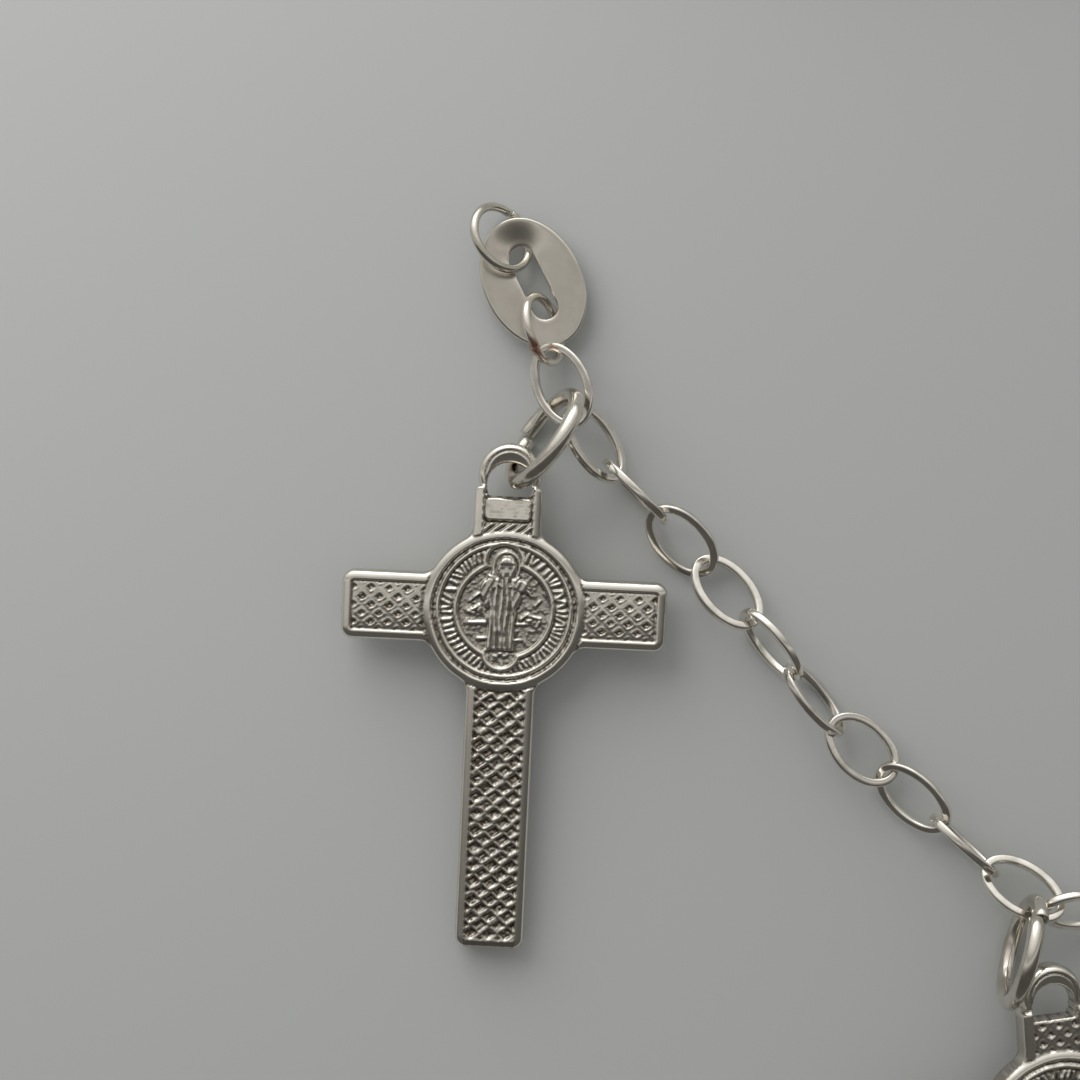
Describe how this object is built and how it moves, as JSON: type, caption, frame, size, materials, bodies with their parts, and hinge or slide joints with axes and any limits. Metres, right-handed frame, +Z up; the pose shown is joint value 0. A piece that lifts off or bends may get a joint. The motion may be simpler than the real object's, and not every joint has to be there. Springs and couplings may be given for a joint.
{
  "type": "charm bracelet",
  "caption": "Silver cable-chain bracelet with devotional cross charms on jump rings, lying unfastened, with a slotted oval end tag and a spring-ring clasp.",
  "frame": {"origin": "middle of the laid-out bracelet, on the surface it lies on", "axes": "+Z up from that surface, +X towards the right of the picture and +Y towards its top"},
  "size_m": [0.1082, 0.1072, 0.0058],
  "materials": {
    "silver_cross": "cast silver, rubbed bright on the ridges and dark in the recesses",
    "silver_chain": "drawn silver wire, lightly tarnished",
    "silver_ring": "drawn silver wire, lightly worn",
    "silver_tag": "stamped silver sheet, soft polish"
  },
  "bodies": {
    "root": {"tag": "silver_tag", "end_ring": "silver_ring", "tag_ring": "silver_ring", "clasp": "silver_ring", "clasp_ring": "silver_ring", "cross_1": "silver_cross", "cross_2": "silver_cross", "cross_3": "silver_cross", "cross_4": "silver_cross", "cross_5": "silver_cross", "cross_6": "silver_cross", "cross_ring_1": "silver_ring", "cross_ring_2": "silver_ring", "cross_ring_3": "silver_ring", "cross_ring_4": "silver_ring", "cross_ring_5": "silver_ring", "cross_ring_6": "silver_ring", "link_01": "silver_chain", "link_02": "silver_chain", "link_03": "silver_chain", "link_04": "silver_chain", "link_05": "silver_chain", "link_06": "silver_chain", "link_07": "silver_chain", "link_08": "silver_chain", "link_09": "silver_chain", "link_10": "silver_chain", "link_11": "silver_chain", "link_12": "silver_chain", "link_13": "silver_chain", "link_14": "silver_chain", "link_15": "silver_chain", "link_16": "silver_chain", "link_17": "silver_chain", "link_18": "silver_chain", "link_19": "silver_chain", "link_20": "silver_chain", "link_21": "silver_chain", "link_22": "silver_chain", "link_23": "silver_chain", "link_24": "silver_chain", "link_25": "silver_chain", "link_26": "silver_chain", "link_27": "silver_chain", "link_28": "silver_chain", "link_29": "silver_chain", "link_30": "silver_chain", "link_31": "silver_chain", "link_32": "silver_chain", "link_33": "silver_chain", "link_34": "silver_chain", "link_35": "silver_chain", "link_36": "silver_chain", "link_37": "silver_chain", "link_38": "silver_chain", "link_39": "silver_chain", "link_40": "silver_chain", "chain_run_1": "silver_chain", "chain_run_2": "silver_chain"}
  },
  "joints": []
}
